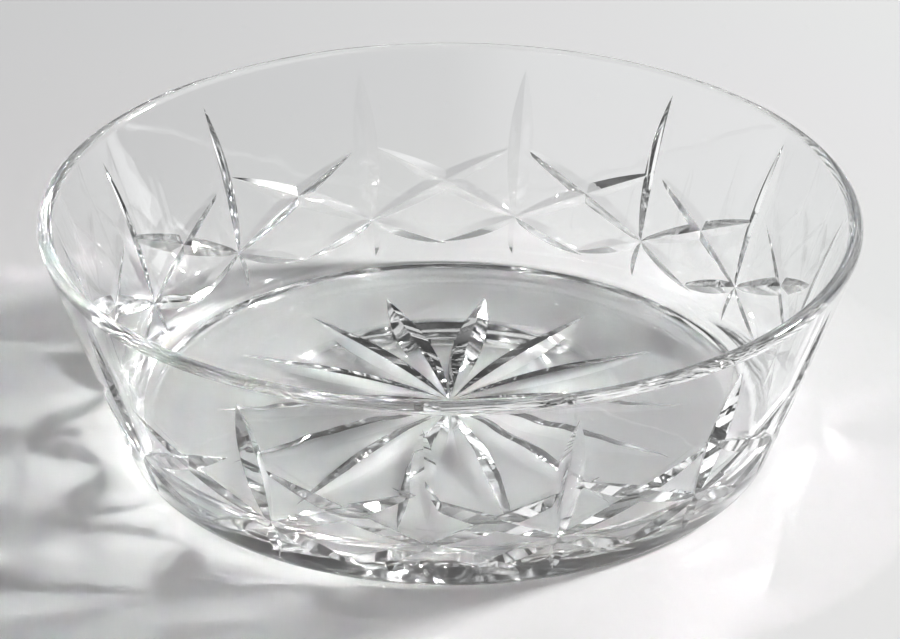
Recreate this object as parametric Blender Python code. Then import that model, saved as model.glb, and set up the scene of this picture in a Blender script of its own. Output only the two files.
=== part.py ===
"""Cut-glass dessert bowl: one turned glass body, cut with mitre grooves on the wall and under the base.

The glass is revolved from a profile of circles joined by their common tangents, with a shallow hollow ground
into the underside. A ring of stars is then cut into the outside of the wall, each from one upright and two
leaning grooves, and a star of leaf-shaped rays is cut into the underside. Every groove is V-shaped, as a
V-edged wheel leaves it, swells into one or two leaves, and runs out at both ends because the wheel is lifted.

The origin is at the middle of the underside. +Z is up, and azimuths turn from the front, -Y, towards +X.
"""

import math

import bmesh
import bpy
from mathutils import Vector

MM = 0.001

# Glass body
RIM_RADIUS = 70.0 * MM
HEIGHT = 41.5 * MM
BASE_FLAT_RADIUS = 54.8 * MM
HEEL_RADIUS = 2.2 * MM
LIP_RADIUS = 1.3 * MM
FLOOR_THICKNESS = 4.2 * MM
FLOOR_FLAT_RADIUS = 47.9 * MM
INNER_FILLET = 10.0 * MM
HOLLOW_RADIUS = 32.0 * MM
HOLLOW_RISE = 2.2 * MM

# Star ring on the wall: the stars are marked out by eye, so their spacing wanders and the ring leans a little
STAR_AZIMUTHS = (-29.0, -3.5, 17.0, 42.0, 64.5, 91.0, 118.5, 143.0, 168.0, 194.5, 222.0, 246.5, 273.0, 301.0)
STAR_HEIGHT = 10.2 * MM
RING_TILT = 0.7 * MM
RING_HIGH_AZIMUTH = 95.0

# Leaves of a groove: its two ends and its depth in the middle.
# Upright of each star, by height: a short tail towards the heel and a long spike towards the lip
TAIL_LEAF = (2.4 * MM, 11.0 * MM, 0.6 * MM)
SPIKE_LEAF = (8.0 * MM, 37.0 * MM, 1.15 * MM)

# Leaning grooves of each star, by degrees from its middle: each is a straight run of the wheel, which the
# flare of the wall bows upwards, so it climbs by a part for each degree and a part for each degree squared.
# Those that lean left are cut in a second pass, a little shallower than the first.
ARM_CLIMB = 0.44 * MM
ARM_BOW = 0.0027 * MM
LOWER_ARM_LEAF = (-14.0, 1.8, 0.98 * MM)
UPPER_ARM_LEAF = (-1.8, 25.5, 1.12 * MM)
SECOND_PASS_SHARE = 0.94

# Star under the base, also marked out by eye: its rays, by radius
RAY_AZIMUTHS = (14.0, 40.0, 66.0, 92.0, 118.5, 143.0, 171.0, 196.5, 218.0, 244.5, 271.0, 297.0, 322.0, 348.0)
RAY_LEAF = (0.8 * MM, 41.5 * MM, 1.4 * MM)

# Cutting wheels: half of the angle between their two flanks, and how far a cutter stands clear of the glass
UPRIGHT_WHEEL_HALF_ANGLE = math.radians(65.0)
ARM_WHEEL_HALF_ANGLE = math.radians(57.5)
BASE_WHEEL_HALF_ANGLE = math.radians(62.0)
WHEEL_CLEARANCE = 1.2 * MM
RUN_OUT_LIFT = 0.05 * MM

# Fineness of the facets, and the part of a groove step over which the heading of the wheel is taken
TURN_STEPS = 96
HOLLOW_STEPS = 5
HEEL_STEPS = 4
LIP_STEPS = 7
FILLET_STEPS = 8
GROOVE_STEPS = 12
HEADING_SHARE = 0.1

# Lead crystal
GLASS_COLOUR = (0.97, 0.98, 0.98, 1.0)
GLASS_ROUGHNESS = 0.02
GLASS_IOR = 1.54


def clear_scene():
    for old in list(bpy.data.objects):
        bpy.data.objects.remove(old, do_unlink=True)


def tangent_normal(centre_a, radius_a, centre_b, radius_b, side):
    """Angle of the normal of the line that touches both circles; a negative radius is a hollow round."""
    step = centre_b - centre_a
    return math.atan2(step.y, step.x) + side * math.acos((radius_a - radius_b) / step.length)


HEEL_CENTRE = Vector((BASE_FLAT_RADIUS, HEEL_RADIUS))
LIP_CENTRE = Vector((RIM_RADIUS - LIP_RADIUS, HEIGHT - LIP_RADIUS))
FILLET_CENTRE = Vector((FLOOR_FLAT_RADIUS, FLOOR_THICKNESS + INNER_FILLET))
OUTER_NORMAL = tangent_normal(HEEL_CENTRE, HEEL_RADIUS, LIP_CENTRE, LIP_RADIUS, -1)
INNER_NORMAL = tangent_normal(FILLET_CENTRE, -INNER_FILLET, LIP_CENTRE, LIP_RADIUS, 1)

# The hollow is part of a large ball whose middle is below the base
BALL_RADIUS = (HOLLOW_RADIUS ** 2 + HOLLOW_RISE ** 2) / (2.0 * HOLLOW_RISE)
BALL_CENTRE = Vector((0.0, HOLLOW_RISE - BALL_RADIUS))


def arc(centre, radius, start, end, steps):
    """Points of a circular arc of the profile, as (radius, height)."""
    angles = [start + (end - start) * step / steps for step in range(steps + 1)]
    return [(centre.x + radius * math.cos(a), centre.y + radius * math.sin(a)) for a in angles]


def bowl_profile():
    """Half section of the glass, from the underside round the heel, wall and lip to the inner floor."""
    straight_up, straight_down = math.radians(90.0), math.radians(-90.0)
    edge = math.acos(HOLLOW_RADIUS / BALL_RADIUS)
    hollow = arc(BALL_CENTRE, BALL_RADIUS, straight_up, edge, HOLLOW_STEPS)[1:]
    heel = arc(HEEL_CENTRE, HEEL_RADIUS, straight_down, OUTER_NORMAL, HEEL_STEPS)
    lip = arc(LIP_CENTRE, LIP_RADIUS, OUTER_NORMAL, INNER_NORMAL, LIP_STEPS)
    fillet = arc(FILLET_CENTRE, INNER_FILLET, INNER_NORMAL - math.pi, straight_down, FILLET_STEPS)
    return hollow + heel + lip + fillet


def glass_material():
    material = bpy.data.materials.new("lead_crystal")
    material.use_nodes = True
    shader = material.node_tree.nodes["Principled BSDF"]
    shader.inputs["Base Color"].default_value = GLASS_COLOUR
    shader.inputs["Roughness"].default_value = GLASS_ROUGHNESS
    shader.inputs["Metallic"].default_value = 0.0
    shader.inputs["IOR"].default_value = GLASS_IOR
    shader.inputs["Transmission Weight"].default_value = 1.0
    material.diffuse_color = GLASS_COLOUR
    return material


def object_from(bm, name, collection):
    """Closes a bmesh into a new mesh object with its faces pointing out."""
    bmesh.ops.recalc_face_normals(bm, faces=bm.faces)
    mesh = bpy.data.meshes.new(name)
    bm.to_mesh(mesh)
    bm.free()
    made = bpy.data.objects.new(name, mesh)
    collection.objects.link(made)
    return made


def turned_bowl():
    """The uncut glass: the half section spun once round, with discs closing the floor and the hollow."""
    bm = bmesh.new()
    verts = [bm.verts.new((radius, 0.0, height)) for radius, height in bowl_profile()]
    edges = [bm.edges.new(pair) for pair in zip(verts, verts[1:])]
    bmesh.ops.spin(
        bm,
        geom=verts + edges,
        axis=(0, 0, 1),
        cent=(0, 0, 0),
        angle=math.tau,
        steps=TURN_STEPS,
        use_merge=True,
    )
    bmesh.ops.holes_fill(bm, edges=[edge for edge in bm.edges if edge.is_boundary])
    bowl = object_from(bm, "bowl", bpy.context.scene.collection)
    bowl.data.materials.append(glass_material())
    bowl.data.shade_smooth()
    return bowl


def on_circle(radius, azimuth, height):
    turn = math.radians(azimuth)
    return Vector((radius * math.sin(turn), -radius * math.cos(turn), height))


def wall_point(azimuth, height):
    """Point on the outside of the straight wall, and the way out of the glass there."""
    outward, downward = math.cos(OUTER_NORMAL), math.sin(OUTER_NORMAL)
    reach = HEEL_CENTRE.x * outward + HEEL_CENTRE.y * downward + HEEL_RADIUS
    radius = (reach - height * downward) / outward
    return on_circle(radius, azimuth, height), on_circle(outward, azimuth, downward)


def base_point(azimuth, radius):
    """Point on the underside, hollow or flat, and the way out of the glass there."""
    if radius > HOLLOW_RADIUS:
        return on_circle(radius, azimuth, 0.0), Vector((0.0, 0.0, -1.0))
    rise = math.sqrt(BALL_RADIUS ** 2 - radius ** 2)
    return on_circle(radius, azimuth, BALL_CENTRE.y + rise), -on_circle(radius, azimuth, rise).normalized()


def groove_depth(place, leaves):
    """Depth along a groove: full in the middle of each leaf, running out of the glass at its ends."""
    reaches = [(1.0 - ((2.0 * place - low - high) / (high - low)) ** 2, depth) for low, high, depth in leaves]
    return max((depth + RUN_OUT_LIFT) * share - RUN_OUT_LIFT for share, depth in reaches)


def cut_groove(name, surface, leaves, half_angle, wheels):
    """Cutter of one groove: V-shaped sections on a line along the surface, bridged into a closed body.

    surface gives the point and the outward direction at each place on the line.
    """
    bm = bmesh.new()
    start, end = leaves[0][0], leaves[-1][1]
    nudge = (end - start) / GROOVE_STEPS * HEADING_SHARE
    loops = []
    for step in range(GROOVE_STEPS + 1):
        place = start + (end - start) * step / GROOVE_STEPS
        point, outward = surface(place)
        along = (surface(place + nudge)[0] - surface(place - nudge)[0]).normalized()
        sunk = groove_depth(place, leaves)
        half_width = along.cross(outward) * (sunk + WHEEL_CLEARANCE) * math.tan(half_angle)
        shoulder = point + outward * WHEEL_CLEARANCE
        corners = [point - outward * sunk, shoulder + half_width, shoulder - half_width]
        verts = [bm.verts.new(corner) for corner in corners]
        loops.append([bm.edges.new((verts[i - 1], verts[i])) for i in range(3)])
    for before, after in zip(loops, loops[1:]):
        bmesh.ops.bridge_loops(bm, edges=before + after)
    bmesh.ops.holes_fill(bm, edges=loops[0] + loops[-1])
    cutter = object_from(bm, name, wheels)
    cutter.hide_render = True
    cutter.display_type = "WIRE"


def arm_height(degrees):
    """Height of a leaning groove on the wall, so many degrees from the middle of its star."""
    return STAR_HEIGHT + ARM_CLIMB * degrees + ARM_BOW * degrees ** 2


def cut_star(index, azimuth, wheels):
    """One star of the wall: an upright, a groove that leans right, and one that leans left."""
    lift = RING_TILT * math.cos(math.radians(azimuth - RING_HIGH_AZIMUTH))
    cut_groove(
        f"upright_cut_{index}",
        lambda height: wall_point(azimuth, height + lift),
        (TAIL_LEAF, SPIKE_LEAF),
        UPRIGHT_WHEEL_HALF_ANGLE,
        wheels,
    )
    for name, side, share in (("right", 1.0, 1.0), ("left", -1.0, SECOND_PASS_SHARE)):
        cut_groove(
            f"{name}_cut_{index}",
            lambda degrees: wall_point(azimuth + side * degrees, arm_height(degrees) + lift),
            [(low, high, depth * share) for low, high, depth in (LOWER_ARM_LEAF, UPPER_ARM_LEAF)],
            ARM_WHEEL_HALF_ANGLE,
            wheels,
        )


def cut_ray(index, azimuth, wheels):
    """One leaf-shaped ray of the star under the base."""
    cut_groove(
        f"ray_cut_{index}",
        lambda radius: base_point(azimuth, radius),
        (RAY_LEAF,),
        BASE_WHEEL_HALF_ANGLE,
        wheels,
    )


def main():
    clear_scene()
    bowl = turned_bowl()
    wheels = bpy.data.collections.new("cutting_wheels")
    bpy.context.scene.collection.children.link(wheels)
    for index, azimuth in enumerate(STAR_AZIMUTHS):
        cut_star(index, azimuth, wheels)
    for index, azimuth in enumerate(RAY_AZIMUTHS):
        cut_ray(index, azimuth, wheels)
    cutting = bowl.modifiers.new("mitre_cutting", "BOOLEAN")
    cutting.operation = "DIFFERENCE"
    cutting.solver = "EXACT"
    cutting.operand_type = "COLLECTION"
    cutting.collection = wheels


main()
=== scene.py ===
"""Looks of the cut-glass dessert bowl: the polished crystal, the table it stands on and the studio light.

The bowl is one turned glass body. A ring of stars is cut into the outside of its wall, each from an upright
spike and two crossed diagonals, and a star of leaf-shaped rays is cut into the underside. All sizes are in
metres, the origin is at the middle of the underside, and azimuths turn from the front, -Y, towards +X.
"""

import math

import bmesh
import bpy
from bpy.props import FloatProperty, FloatVectorProperty, IntProperty, PointerProperty
from mathutils import Matrix, Vector


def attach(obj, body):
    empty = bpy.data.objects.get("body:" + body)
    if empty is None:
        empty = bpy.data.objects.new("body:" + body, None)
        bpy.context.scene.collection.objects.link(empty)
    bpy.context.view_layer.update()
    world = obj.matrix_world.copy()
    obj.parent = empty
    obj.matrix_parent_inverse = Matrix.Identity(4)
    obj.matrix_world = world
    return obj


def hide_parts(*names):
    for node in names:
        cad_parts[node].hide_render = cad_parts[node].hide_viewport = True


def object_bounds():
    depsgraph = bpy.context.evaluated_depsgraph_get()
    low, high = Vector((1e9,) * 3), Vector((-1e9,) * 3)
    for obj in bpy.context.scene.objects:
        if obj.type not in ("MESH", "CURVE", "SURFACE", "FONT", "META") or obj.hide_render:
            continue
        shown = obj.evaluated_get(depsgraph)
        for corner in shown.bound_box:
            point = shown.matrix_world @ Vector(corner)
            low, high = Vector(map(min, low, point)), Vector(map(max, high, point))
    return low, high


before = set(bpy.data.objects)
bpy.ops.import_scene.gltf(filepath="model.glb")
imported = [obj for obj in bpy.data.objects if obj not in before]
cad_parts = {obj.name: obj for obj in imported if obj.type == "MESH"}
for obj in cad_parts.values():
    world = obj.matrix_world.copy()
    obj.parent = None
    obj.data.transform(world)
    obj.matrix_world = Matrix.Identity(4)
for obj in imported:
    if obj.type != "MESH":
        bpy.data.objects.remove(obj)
CAD_LOW, CAD_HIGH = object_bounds()

bl_info = {
    "name": "Cut-Glass Dessert Bowl",
    "version": (1, 0, 0),
    "blender": (4, 5, 0),
    "location": "3D View > Sidebar > Dessert Bowl",
    "description": "Turns and cuts a crystal dessert bowl and sets a plain studio round it",
    "category": "Add Mesh",
}

MM = 0.001

# Azimuth of the camera, and the two ways round the bowl.
FRONT = 0.0
RIGHT = 1.0
LEFT = -1.0

# Places of the stars and directions of the base rays, in degrees, as uneven as on the hand-cut bowl.
STAR_AZIMUTHS = (
    -29.0, -3.5, 17.0, 42.0, 64.5, 91.0, 118.5, 143.0, 168.0, 194.5, 222.0, 246.5, 273.0, 301.0,
)
RAY_AZIMUTHS = (
    14.0, 40.0, 66.0, 92.0, 118.5, 143.0, 171.0, 196.5, 218.0, 244.5, 271.0, 297.0, 322.0, 348.0,
)

# Soft areas round the scene that the glass shows in its facets: azimuth and rise of the middle, the angles
# from it within which the area is full and beyond which it is gone, and its colour. Later ones lie on top.
SURROUNDINGS_COLOUR = "#808080"
SURROUNDINGS = (
    (290.0, 25.0, 30.0, 55.0, "#C2C2C2"),  # pale wall on the left
    (165.0, 30.0, 45.0, 65.0, "#303030"),  # unlit room behind
    (180.0, 85.0, 30.0, 50.0, "#343434"),  # unlit ceiling
    (318.0, 20.0, 12.0, 42.0, "#DBDBDB"),  # large soft window at the front left
    (269.0, 0.0, 18.0, 30.0, "#D7D7D7"),  # lit table edge on the left
    (80.0, 45.0, 24.0, 34.0, "#FFFFFF"),  # high window on the right
    (173.5, 0.0, 2.5, 5.0, "#FFFFFF"),  # lit table edge behind
)

# Steps of the rounds in the half section, of the wheel's way along a groove, and of the table's edge.
HOLLOW_STEPS = 12
HEEL_STEPS = 8
LIP_STEPS = 14
FILLET_STEPS = 20
GROOVE_STEPS = 40
TABLE_STEPS = 128

# Short straight runs beside a round, which keep its soft shading off the straight part that follows.
ROUND_RUN = 0.2 * MM
HOLLOW_RUN = 0.4 * MM

# Height of a groove's body above the glass, and of the wheel's edge where a leaf has run out.
GROOVE_CLEAR = 1.2 * MM
WHEEL_LIFT = 0.05 * MM

# Height and half width of a circle of three corners and radius 1.
TRIANGLE_HEIGHT = 1.5
TRIANGLE_HALF_WIDTH = math.sin(math.radians(60.0))

# The edges of the cuts turn by more degrees than this and stay hard. The rounds turn by less and are smooth.
HARD_EDGE = 18.0

# Light crosses the cut wall many times before it leaves the glass.
GLASS_BOUNCES = 32
GLOSSY_BOUNCES = 16

# Colour sockets of a Mix node: the two colours that go in, and the one that comes out.
MIX_FIRST = 6
MIX_SECOND = 7
MIX_RESULT = 2


def linear(code):
    """Linear colour, with full alpha, of an sRGB hex code."""
    parts = [int(code[place:place + 2], 16) / 255.0 for place in (1, 3, 5)]
    return [c / 12.92 if c <= 0.04045 else ((c + 0.055) / 1.055) ** 2.4 for c in parts] + [1.0]


def plain(name, description, default):
    """A setting without a unit."""
    return FloatProperty(name=name, description=description, default=default)


def length(name, description, default):
    """A size in metres."""
    return FloatProperty(name=name, description=description, default=default, unit="LENGTH", precision=5)


def turn(name, description, degrees):
    """An angle."""
    return FloatProperty(name=name, description=description, default=math.radians(degrees), subtype="ANGLE")


def turns(name, description, degrees):
    """A row of angles."""
    return FloatVectorProperty(
        name=name,
        description=description,
        size=len(degrees),
        unit="ROTATION",
        default=[math.radians(place) for place in degrees],
    )


def tint(name, description, code):
    """A colour."""
    return FloatVectorProperty(
        name=name, description=description, size=4, subtype="COLOR", default=linear(code)
    )


class BowlBody(bpy.types.PropertyGroup):
    """Sizes of the turned glass before it is cut."""

    rim_radius: length("Rim radius", "Outermost radius, at the lip", CAD_HIGH.x)
    height: length("Height", "Height of the lip above the table", CAD_HIGH.z)
    foot_radius: length("Foot radius", "Radius of the flat underside", 54.8 * MM)
    heel_radius: length("Heel rounding", "Rounding between underside and wall", 2.2 * MM)
    lip_radius: length("Lip rounding", "Rounding of the polished lip", 1.3 * MM)
    floor_thickness: length("Floor thickness", "Glass between the inner floor and the underside", 4.2 * MM)
    floor_radius: length("Floor radius", "Radius of the flat inner floor", 47.9 * MM)
    fillet_radius: length("Inner fillet", "Hollow rounding between inner floor and wall", 10.0 * MM)
    hollow_radius: length("Hollow radius", "Radius of the ground hollow under the base", 32.0 * MM)
    hollow_rise: length("Hollow rise", "Height of the ground hollow in its middle", 2.2 * MM)
    turn_steps: IntProperty(name="Turn steps", description="Facets round the bowl, in fours", default=384)


class MitreCuts(bpy.types.PropertyGroup):
    """The cutting: sizes of the grooves that the V-edged wheels leave."""

    star_azimuths: turns("Star azimuths", "Places of the stars, marked out by eye", STAR_AZIMUTHS)
    star_height: length("Star height", "Middle height of the ring of stars", 10.2 * MM)
    ring_tilt: length("Ring tilt", "How far the ring of stars rises above its middle height", 0.7 * MM)
    ring_high: turn("Ring high side", "Azimuth at which the ring of stars is highest", 95.0)
    spike_top: length("Spike top", "Height at which the upright spike runs out", 37.0 * MM)
    spike_foot: length("Spike foot", "Height at which the spike starts, in the star", 8.0 * MM)
    spike_depth: length("Spike depth", "Depth of the upright spike", 1.15 * MM)
    tail_top: length("Tail top", "Height at which the short tail starts, in the star", 11.0 * MM)
    tail_foot: length("Tail foot", "Height at which the short tail runs out", 2.4 * MM)
    tail_depth: length("Tail depth", "Depth of the short tail", 0.6 * MM)
    arm_climb: length("Arm climb", "Height that a slanting arm gains in one degree of turn", 0.44 * MM)
    arm_bow: length("Arm bow", "Height that it also gains with each degree squared", 0.0027 * MM)
    arm_low_end: turn("Arm low end", "Turn from the star's middle to the tip of a lower arm", -14.0)
    arm_high_end: turn("Arm high end", "Turn from the star's middle to the tip of an upper arm", 25.5)
    arm_overlap: turn("Arm overlap", "How far each arm runs past the star's middle", 1.8)
    upper_depth: length("Upper arm depth", "Depth of the two arms that climb", 1.12 * MM)
    lower_depth: length("Lower arm depth", "Depth of the two arms that fall", 0.98 * MM)
    second_share: plain("Second pass", "Depth of the arms that lean left, as a share of the others", 0.94)
    ray_azimuths: turns("Ray azimuths", "Directions of the base rays, marked out by eye", RAY_AZIMUTHS)
    ray_inner: length("Ray inner end", "Radius at which a base ray starts", 0.8 * MM)
    ray_outer: length("Ray outer end", "Radius at which a base ray runs out", 41.5 * MM)
    ray_depth: length("Ray depth", "Depth of a base ray", 1.4 * MM)
    upright_wheel: turn("Upright wheel", "Half angle of the wheel for the uprights", 65.0)
    arm_wheel: turn("Arm wheel", "Half angle of the wheel for the slanting arms", 57.5)
    base_wheel: turn("Base wheel", "Half angle of the wheel for the base", 62.0)


class CrystalFinish(bpy.types.PropertyGroup):
    """Polished lead crystal."""

    colour: tint("Glass colour", "Tint of the clear glass", "#FCFDFD")
    ior: plain("IOR", "Refractive index of lead crystal", 1.54)
    ripple_size: length("Ripple size", "Width of the slow ripple in the glass", 14.0 * MM)
    ripple_height: length("Ripple height", "Height of the slow ripple in the glass", 0.1 * MM)
    foot_wear: plain("Foot wear", "Roughness of the scuffs under the foot", 0.12)
    scuff_size: length("Scuff size", "Width of a patch of scuffs", 1.5 * MM)
    scuff_top: length("Scuff top", "Height above the table at which the scuffs end", 0.1 * MM)


class TableStage(bpy.types.PropertyGroup):
    """Table, light and camera."""

    table_radius: length("Table radius", "Radius of the table top", 1.2)
    table_gap: length("Table gap", "How far the table top lies below the foot", 0.05 * MM)
    table_roughness: plain("Table roughness", "Roughness of the matt table top", 0.4)
    # Painted shade: the table is painted darker on the left, away from the lamp, and paler on the right, in
    # place of the light falling off across it.
    painted_shade_colour: tint("Shaded colour", "Colour of the table on the left, away from the light", "#D5D5D5")
    table_colour: tint("Table colour", "Colour of the table on the right", "#E9E9E9")
    painted_shade_reach: length("Shade reach", "Distance to each side at which these colours are full", 160.0 * MM)
    cloud_share: plain("Cloud share", "Strength of the clouds in the table's colour", 0.04)
    cloud_size: length("Cloud size", "Width of the clouds in the table's colour", 120.0 * MM)
    # Painted light: a narrow wedge of the table far behind is painted white, as if lit there, so that the
    # facets which look that way show it bright.
    painted_light_colour: tint("Far colour", "Colour of the lit part of the table far behind", "#FFFFFF")
    far_azimuth: turn("Far azimuth", "Direction of the lit part of the table", 173.0)
    far_inner: turn("Far inner angle", "Angle from its middle within which the lit part is full", 3.5)
    far_outer: turn("Far outer angle", "Angle from its middle beyond which the lit part is gone", 7.0)
    far_start: length("Far start", "Distance at which the lit part of the table starts", 200.0 * MM)
    far_full: length("Far full", "Distance from which the lit part of the table is full", 300.0 * MM)
    surroundings_light: plain("Surroundings light", "Strength of the light from all round", 1.0)
    surroundings_shown: plain("Surroundings shown", "Strength of what the glass shows all round", 1.4)
    lamp_colour: tint("Lamp colour", "Colour of the soft lamp", "#FFFFFF")
    lamp_power: FloatProperty(
        name="Lamp power", description="Power of the soft lamp", default=125.0, unit="POWER"
    )
    lamp_size: length("Lamp size", "Diameter of the soft lamp", 0.5)
    lamp_distance: length("Lamp distance", "Distance of the soft lamp from the bowl", 3.0)
    lamp_azimuth: turn("Lamp azimuth", "Direction of the soft lamp", 108.0)
    lamp_rise: turn("Lamp rise", "Height of the soft lamp above the table, as an angle", 30.0)
    lens: FloatProperty(name="Lens", description="Focal length of the camera", default=143.9, unit="CAMERA")
    camera_distance: length("Camera distance", "Distance of the camera from the middle of the rim", 0.6121)
    camera_rise: turn("Camera rise", "Height of the camera above the rim, as an angle", 26.04)
    camera_pitch: turn("Camera pitch", "How far the camera looks down", 27.871)
    camera_roll: turn("Camera roll", "How far the camera leans", 0.13)


def on_circle(radius, azimuth, height):
    """Point at a radius from the bowl's axis."""
    return Vector((radius * math.sin(azimuth), -radius * math.cos(azimuth), height))


def direction(azimuth, rise):
    """Way to a place that is seen from the bowl in an azimuth and at a rise above the table."""
    return on_circle(math.cos(rise), azimuth, math.sin(rise))


def add_node(tree, kind, inputs=None, **settings):
    """Adds a node, sets its properties, and gives its inputs values or links from other nodes' outputs."""
    node = tree.nodes.new(kind)
    for name, value in settings.items():
        setattr(node, name, value)
    for name, value in (inputs or {}).items():
        if isinstance(value, bpy.types.NodeSocket):
            tree.links.new(value, node.inputs[name])
        else:
            node.inputs[name].default_value = value
    return node


def empty_material(name):
    """A node material without any nodes, and its tree."""
    material = bpy.data.materials.new(name)
    material.use_nodes = True
    material.node_tree.nodes.clear()
    return material, material.node_tree


def soft_area(tree, way, azimuth, rise, inner, outer):
    """A share that is 1 for ways within the inner angle of a direction, and 0 beyond the outer angle."""
    sockets = {0: way, 1: direction(azimuth, rise)}
    closeness = add_node(tree, "ShaderNodeVectorMath", sockets, operation="DOT_PRODUCT")
    span = {"Value": closeness.outputs["Value"], "From Min": math.cos(outer), "From Max": math.cos(inner)}
    share = add_node(tree, "ShaderNodeMapRange", span, interpolation_type="SMOOTHSTEP")
    return share.outputs["Result"]


def polished_crystal(finish):
    """Lead crystal, mould-blown, wheel-cut and acid-polished: colourless, with bright hard-edged facets.

    A slow ripple left from the blowing bends what is seen through the wall. The foot is a little scuffed.
    """
    material, tree = empty_material("lead_crystal_polished")
    place = add_node(tree, "ShaderNodeTexCoord").outputs["Object"]
    height = add_node(tree, "ShaderNodeSeparateXYZ", {"Vector": place}).outputs["Z"]

    waves = {"Vector": place, "Scale": 1.0 / finish.ripple_size, "Detail": 1.0}
    ripple = add_node(tree, "ShaderNodeTexNoise", waves).outputs["Fac"]
    bump = add_node(tree, "ShaderNodeBump", {"Height": ripple, "Distance": finish.ripple_height})

    grains = {"Vector": place, "Scale": 1.0 / finish.scuff_size, "Detail": 4.0}
    grit = add_node(tree, "ShaderNodeTexNoise", grains).outputs["Fac"]
    span = {"Value": height, "From Min": finish.scuff_top, "From Max": 0.0, "To Max": finish.foot_wear}
    wear = add_node(tree, "ShaderNodeMapRange", span, interpolation_type="SMOOTHSTEP").outputs["Result"]
    scuffs = add_node(tree, "ShaderNodeMath", {0: wear, 1: grit}, operation="MULTIPLY")

    glass = {
        "Base Color": finish.colour,
        "Roughness": scuffs.outputs["Value"],
        "IOR": finish.ior,
        "Transmission Weight": 1.0,
        "Normal": bump.outputs["Normal"],
    }
    shader = add_node(tree, "ShaderNodeBsdfPrincipled", glass)
    add_node(tree, "ShaderNodeOutputMaterial", {"Surface": shader.outputs["BSDF"]})
    return material


def pale_table(stage):
    """Smooth matt table top: pale, with painted shade that makes it greyer on the left, a faint cloudiness,
    and painted light that whitens a part far behind.
    """
    material, tree = empty_material("matt_table_paint")
    place = add_node(tree, "ShaderNodeTexCoord").outputs["Object"]
    across = add_node(tree, "ShaderNodeSeparateXYZ", {"Vector": place}).outputs["X"]
    # Painted shade: the colour darkens from right to left across the painted shade reach, in place of the
    # lamp's light falling off.
    span = {"Value": across, "From Min": -stage.painted_shade_reach, "From Max": stage.painted_shade_reach}
    share = add_node(tree, "ShaderNodeMapRange", span, interpolation_type="SMOOTHSTEP").outputs["Result"]
    painted_shade_sides = {"Factor": share, MIX_FIRST: stage.painted_shade_colour, MIX_SECOND: stage.table_colour}
    tone = add_node(tree, "ShaderNodeMix", painted_shade_sides, data_type="RGBA").outputs[MIX_RESULT]

    puffs = {"Vector": place, "Scale": 1.0 / stage.cloud_size, "Detail": 2.0}
    clouds = add_node(tree, "ShaderNodeTexNoise", puffs).outputs["Color"]
    veil = {"Factor": stage.cloud_share, MIX_FIRST: tone, MIX_SECOND: clouds}
    tone = add_node(tree, "ShaderNodeMix", veil, data_type="RGBA", blend_type="MULTIPLY").outputs[MIX_RESULT]

    # Painted light: far behind, within a narrow wedge, the table's colour turns white, a pool of light
    # painted on it.
    distance = add_node(tree, "ShaderNodeVectorMath", {0: place}, operation="LENGTH").outputs["Value"]
    way = add_node(tree, "ShaderNodeVectorMath", {0: place}, operation="NORMALIZE").outputs["Vector"]
    painted_light_wedge = soft_area(tree, way, stage.far_azimuth, 0.0, stage.far_inner, stage.far_outer)
    span = {"Value": distance, "From Min": stage.far_start, "From Max": stage.far_full, "To Max": painted_light_wedge}
    lit = add_node(tree, "ShaderNodeMapRange", span, interpolation_type="SMOOTHSTEP").outputs["Result"]
    painted_light_layers = {"Factor": lit, MIX_FIRST: tone, MIX_SECOND: stage.painted_light_colour}
    tone = add_node(tree, "ShaderNodeMix", painted_light_layers, data_type="RGBA").outputs[MIX_RESULT]

    paint = {"Base Color": tone, "Roughness": stage.table_roughness}
    shader = add_node(tree, "ShaderNodeBsdfPrincipled", paint)
    add_node(tree, "ShaderNodeOutputMaterial", {"Surface": shader.outputs["BSDF"]})
    return material


def studio_world(stage):
    """Grey surroundings with soft light and dark areas, a little stronger where the glass shows them."""
    world = bpy.data.worlds.new("studio")
    world.use_nodes = True
    tree = world.node_tree
    tree.nodes.clear()
    way = add_node(tree, "ShaderNodeTexCoord").outputs["Generated"]
    tone = linear(SURROUNDINGS_COLOUR)
    for *angles, code in SURROUNDINGS:
        share = soft_area(tree, way, *map(math.radians, angles))
        layers = {"Factor": share, MIX_FIRST: tone, MIX_SECOND: linear(code)}
        tone = add_node(tree, "ShaderNodeMix", layers, data_type="RGBA").outputs[MIX_RESULT]

    rays = add_node(tree, "ShaderNodeLightPath").outputs
    kinds = {0: rays["Is Glossy Ray"], 1: rays["Is Transmission Ray"]}
    shown = add_node(tree, "ShaderNodeMath", kinds, operation="ADD").outputs["Value"]
    levels = {"Value": shown, "To Min": stage.surroundings_light, "To Max": stage.surroundings_shown}
    strength = add_node(tree, "ShaderNodeMapRange", levels).outputs["Result"]
    glow = add_node(tree, "ShaderNodeBackground", {"Color": tone, "Strength": strength})
    add_node(tree, "ShaderNodeOutputWorld", {"Surface": glow.outputs["Background"]})
    return world


def mesh_object(bm, name):
    """A new object from a bmesh, with its faces pointing out."""
    bmesh.ops.recalc_face_normals(bm, faces=bm.faces)
    mesh = bpy.data.meshes.new(name)
    bm.to_mesh(mesh)
    bm.free()
    made = bpy.data.objects.new(name, mesh)
    bpy.context.scene.collection.objects.link(made)
    return made


def tangent_normal(centre_a, radius_a, centre_b, radius_b, side):
    """Angle of the normal of the line that touches both circles; a negative radius is a hollow round."""
    step = centre_b - centre_a
    return math.atan2(step.y, step.x) + side * math.acos((radius_a - radius_b) / step.length)


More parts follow.
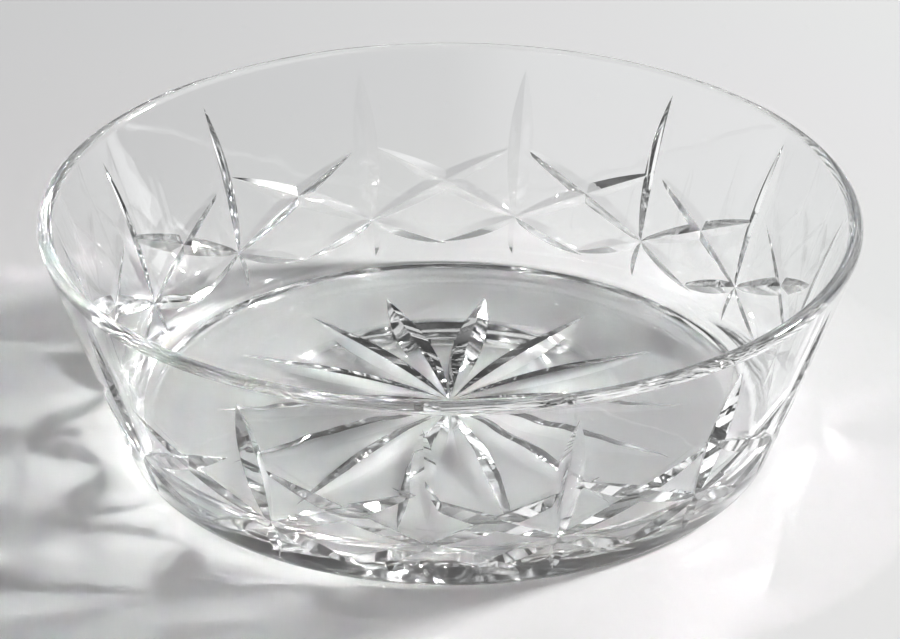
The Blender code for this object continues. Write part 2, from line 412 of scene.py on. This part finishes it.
class HalfSection:
    """The bowl's half section: heel, lip and inner fillet, joined by their common tangents."""

    def __init__(self, body):
        self.heel = Vector((body.foot_radius, body.heel_radius))
        self.lip = Vector((body.rim_radius - body.lip_radius, body.height - body.lip_radius))
        self.fillet = Vector((body.floor_radius, body.floor_thickness + body.fillet_radius))
        self.outer = tangent_normal(self.heel, body.heel_radius, self.lip, body.lip_radius, -1)
        self.inner = tangent_normal(self.fillet, -body.fillet_radius, self.lip, body.lip_radius, 1)
        # Distance from the origin to the line of the outer wall.
        spoke = Vector((math.cos(self.outer), math.sin(self.outer)))
        self.reach = self.heel.dot(spoke) + body.heel_radius
        # The ground hollow is part of a large ball whose middle is below the base.
        self.ball = (body.hollow_radius ** 2 + body.hollow_rise ** 2) / (2.0 * body.hollow_rise)
        self.ball_drop = self.ball - body.hollow_rise
        self.hollow_radius = body.hollow_radius

    def wall(self, azimuth, height):
        """Point on the outside of the wall, and the way out of the glass there."""
        outward, upward = math.cos(self.outer), math.sin(self.outer)
        point = on_circle((self.reach - height * upward) / outward, azimuth, height)
        return point, on_circle(outward, azimuth, upward)

    def base(self, azimuth, radius):
        """Point on the underside, and the way out of the glass there."""
        if radius > self.hollow_radius:
            return on_circle(radius, azimuth, 0.0), Vector((0.0, 0.0, -1.0))
        rise = math.sqrt(self.ball ** 2 - radius ** 2)
        outward = -on_circle(radius, azimuth, rise).normalized()
        return on_circle(radius, azimuth, rise - self.ball_drop), outward


def rounding(centre, radius, start, end, steps):
    """Points of an arc of the half section, with a short straight run at each end."""
    angles = [start + (end - start) * step / steps for step in range(steps + 1)]
    spokes = [Vector((math.cos(angle), math.sin(angle))) for angle in angles]
    arc = [centre + spoke * radius for spoke in spokes]
    run = math.copysign(ROUND_RUN, end - start)
    return [arc[0] - spokes[0].orthogonal() * run, *arc, arc[-1] + spokes[-1].orthogonal() * run]


def turned_glass(body, section):
    """The uncut bowl: the half section spun once round, with discs closing the floor and the underside."""
    bm = bmesh.new()
    down = math.radians(-90.0)
    hollow_edge = math.asin(body.hollow_radius / section.ball)
    profile = [
        Vector((section.ball * math.sin(lean), section.ball * math.cos(lean) - section.ball_drop))
        for lean in (hollow_edge * step / HOLLOW_STEPS for step in range(1, HOLLOW_STEPS + 1))
    ]
    profile.append(Vector((body.hollow_radius + HOLLOW_RUN, 0.0)))
    profile += rounding(section.heel, body.heel_radius, down, section.outer, HEEL_STEPS)
    profile += rounding(section.lip, body.lip_radius, section.outer, section.inner, LIP_STEPS)
    profile += rounding(section.fillet, body.fillet_radius, section.inner - math.pi, down, FILLET_STEPS)
    verts = [bm.verts.new((point.x, 0.0, point.y)) for point in profile]
    for pair in zip(verts, verts[1:]):
        bm.edges.new(pair)
    bmesh.ops.spin(
        bm,
        geom=bm.verts[:] + bm.edges[:],
        axis=(0, 0, 1),
        cent=(0, 0, 0),
        angle=math.tau,
        steps=body.turn_steps,
        use_merge=True,
    )
    bmesh.ops.holes_fill(bm, edges=[edge for edge in bm.edges if edge.is_boundary])
    return mesh_object(bm, "crystal_bowl")


def add_groove(bm, surface, leaves, half_angle):
    """Adds the body of one groove: V-shaped sections along a line on the glass, bridged and closed.

    surface gives the point and the way out of the glass at each place on the line. leaves gives the two ends
    and the depth of each stretch in which the wheel is let into the glass.
    """
    start, end = leaves[0][0], leaves[-1][1]
    # The line's way at a place is taken between two others, a tenth of a step before and after.
    nudge = (end - start) / GROOVE_STEPS / 10.0
    loops = []
    for step in range(GROOVE_STEPS + 1):
        place = start + (end - start) * step / GROOVE_STEPS
        point, outward = surface(place)
        along = (surface(place + nudge)[0] - surface(place - nudge)[0]).normalized()
        across = along.cross(outward)
        # The wheel's edge follows a parabola in each leaf, and the deeper leaf counts.
        sunk = max(
            (depth + WHEEL_LIFT) * (1.0 - ((2.0 * place - low - high) / (high - low)) ** 2) - WHEEL_LIFT
            for low, high, depth in leaves
        )
        # A circle of three corners stands with one corner at the groove's bottom and two clear of the glass.
        # Its middle is a third of its height below those two.
        tall = sunk + GROOVE_CLEAR
        wide = tall * math.tan(half_angle) / TRIANGLE_HALF_WIDTH
        centre = Matrix.Translation(point + outward * (GROOVE_CLEAR - tall / 3.0))
        stance = Matrix((across, -outward, along)).transposed().to_4x4()
        size = Matrix.Diagonal((wide, tall / TRIANGLE_HEIGHT, 1.0, 1.0))
        verts = bmesh.ops.create_circle(bm, segments=3, radius=1.0, matrix=centre @ stance @ size)["verts"]
        loops.append(list(dict.fromkeys(edge for vert in verts for edge in vert.link_edges)))
    for before, after in zip(loops, loops[1:]):
        bmesh.ops.bridge_loops(bm, edges=before + after)
    bmesh.ops.holes_fill(bm, edges=loops[0] + loops[-1])


def arm_height(cuts, sweep):
    """Height of a slanting arm: a straight run of the wheel, which the flare of the wall bows upwards."""
    degrees = math.degrees(sweep)
    return cuts.star_height + cuts.arm_climb * degrees + cuts.arm_bow * degrees ** 2


def cut(bowl, bm, crossing):
    """Takes the grooves in a bmesh, which may cross each other, out of the bowl."""
    wheel = mesh_object(bm, "wheel_path")
    modifier = bowl.modifiers.new("mitre_cut", "BOOLEAN")
    modifier.operation = "DIFFERENCE"
    modifier.solver = "EXACT"
    modifier.use_self = crossing
    modifier.object = wheel
    carved = bpy.data.meshes.new_from_object(bowl.evaluated_get(bpy.context.evaluated_depsgraph_get()))
    bowl.modifiers.remove(modifier)
    bowl.data = carved
    bpy.data.objects.remove(wheel, do_unlink=True)


class DESSERTBOWL_OT_crystal(bpy.types.Operator):
    """Turn the crystal bowl, cut its stars and polish it"""

    bl_idname = "dessert_bowl.crystal"
    bl_label = "Crystal Bowl"

    def execute(self, context):
        body, cuts = context.scene.dessert_bowl_body, context.scene.dessert_bowl_cuts
        section = HalfSection(body)
        bowl = turned_glass(body, section)

        uprights, rays = bmesh.new(), bmesh.new()
        # The side to which the arms of a pass climb, the share of their depth, and their grooves.
        passes = ((RIGHT, 1.0, bmesh.new()), (LEFT, cuts.second_share, bmesh.new()))
        for azimuth in cuts.star_azimuths:
            lift = cuts.ring_tilt * math.cos(azimuth - cuts.ring_high)
            add_groove(
                uprights,
                lambda height: section.wall(azimuth, height + lift),
                (
                    (cuts.tail_foot, cuts.tail_top, cuts.tail_depth),
                    (cuts.spike_foot, cuts.spike_top, cuts.spike_depth),
                ),
                cuts.upright_wheel,
            )
            for side, share, arms in passes:
                add_groove(
                    arms,
                    lambda sweep: section.wall(azimuth + side * sweep, arm_height(cuts, sweep) + lift),
                    (
                        (cuts.arm_low_end, cuts.arm_overlap, cuts.lower_depth * share),
                        (-cuts.arm_overlap, cuts.arm_high_end, cuts.upper_depth * share),
                    ),
                    cuts.arm_wheel,
                )
        for azimuth in cuts.ray_azimuths:
            add_groove(
                rays,
                lambda radius: section.base(azimuth, radius),
                ((cuts.ray_inner, cuts.ray_outer, cuts.ray_depth),),
                cuts.base_wheel,
            )
        cut(bowl, rays, crossing=True)
        cut(bowl, uprights, crossing=False)
        for side, share, arms in passes:
            cut(bowl, arms, crossing=False)

        bowl.data.shade_smooth()
        bowl.data.set_sharp_from_angle(angle=math.radians(HARD_EDGE))
        bowl.data.materials.clear()
        bowl.data.materials.append(polished_crystal(context.scene.dessert_bowl_finish))
        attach(bowl, "root")
        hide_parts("bowl")
        return {"FINISHED"}


class DESSERTBOWL_OT_studio(bpy.types.Operator):
    """Set the pale table, the soft light and the camera"""

    bl_idname = "dessert_bowl.studio"
    bl_label = "Studio"

    def execute(self, context):
        scene, stage = context.scene, context.scene.dessert_bowl_stage
        scene.world = studio_world(stage)

        bm = bmesh.new()
        level = Matrix.Translation((0.0, 0.0, -stage.table_gap))
        bmesh.ops.create_circle(
            bm, cap_ends=True, segments=TABLE_STEPS, radius=stage.table_radius, matrix=level
        )
        table = mesh_object(bm, "table_top")
        table.data.materials.append(pale_table(stage))

        lamp_data = bpy.data.lights.new("soft_lamp", "AREA")
        lamp_data.shape = "DISK"
        lamp_data.size = stage.lamp_size
        lamp_data.energy = stage.lamp_power
        lamp_data.color = stage.lamp_colour[:3]
        lamp = bpy.data.objects.new("soft_lamp", lamp_data)
        aim = direction(stage.lamp_azimuth, stage.lamp_rise)
        lamp.location = aim * stage.lamp_distance
        lamp.rotation_euler = aim.to_track_quat("Z", "Y").to_euler()
        scene.collection.objects.link(lamp)

        camera_data = bpy.data.cameras.new("camera")
        camera_data.lens = stage.lens
        camera = bpy.data.objects.new("camera", camera_data)
        rim_middle = Vector((0.0, 0.0, scene.dessert_bowl_body.height))
        place = rim_middle + direction(FRONT, stage.camera_rise) * stage.camera_distance
        camera.matrix_world = (
            Matrix.Translation(place)
            @ Matrix.Rotation(math.radians(90.0) - stage.camera_pitch, 4, "X")
            @ Matrix.Rotation(stage.camera_roll, 4, "Z")
        )
        scene.collection.objects.link(camera)
        scene.camera = camera

        scene.cycles.max_bounces = GLASS_BOUNCES
        scene.cycles.transmission_bounces = GLASS_BOUNCES
        scene.cycles.glossy_bounces = GLOSSY_BOUNCES
        # The bright patches that the glass throws on the table are kept as they are, not softened.
        scene.cycles.blur_glossy = 0.0
        scene.cycles.sample_clamp_indirect = 0.0
        scene.view_settings.view_transform = "Standard"
        return {"FINISHED"}


class DESSERTBOWL_PT_sidebar(bpy.types.Panel):
    """The bowl's sizes and the buttons that make it"""

    bl_idname = "DESSERTBOWL_PT_sidebar"
    bl_label = "Dessert Bowl"
    bl_space_type = "VIEW_3D"
    bl_region_type = "UI"
    bl_category = "Dessert Bowl"

    def draw(self, context):
        for operator, groups in SIDEBAR:
            for group in groups:
                settings = getattr(context.scene, group)
                for name in settings.__annotations__:
                    self.layout.prop(settings, name)
            self.layout.operator(operator.bl_idname)


GROUPS = {
    "dessert_bowl_body": BowlBody,
    "dessert_bowl_cuts": MitreCuts,
    "dessert_bowl_finish": CrystalFinish,
    "dessert_bowl_stage": TableStage,
}
SIDEBAR = (
    (DESSERTBOWL_OT_crystal, ("dessert_bowl_body", "dessert_bowl_cuts", "dessert_bowl_finish")),
    (DESSERTBOWL_OT_studio, ("dessert_bowl_stage",)),
)
CLASSES = (*GROUPS.values(), DESSERTBOWL_OT_crystal, DESSERTBOWL_OT_studio, DESSERTBOWL_PT_sidebar)


def register():
    for cls in CLASSES:
        bpy.utils.register_class(cls)
    for name, group in GROUPS.items():
        setattr(bpy.types.Scene, name, PointerProperty(type=group))


def unregister():
    for name in GROUPS:
        delattr(bpy.types.Scene, name)
    for cls in reversed(CLASSES):
        bpy.utils.unregister_class(cls)


def main():
    register()
    bpy.ops.dessert_bowl.crystal()
    bpy.ops.dessert_bowl.studio()


if __name__ == "__main__":
    main()
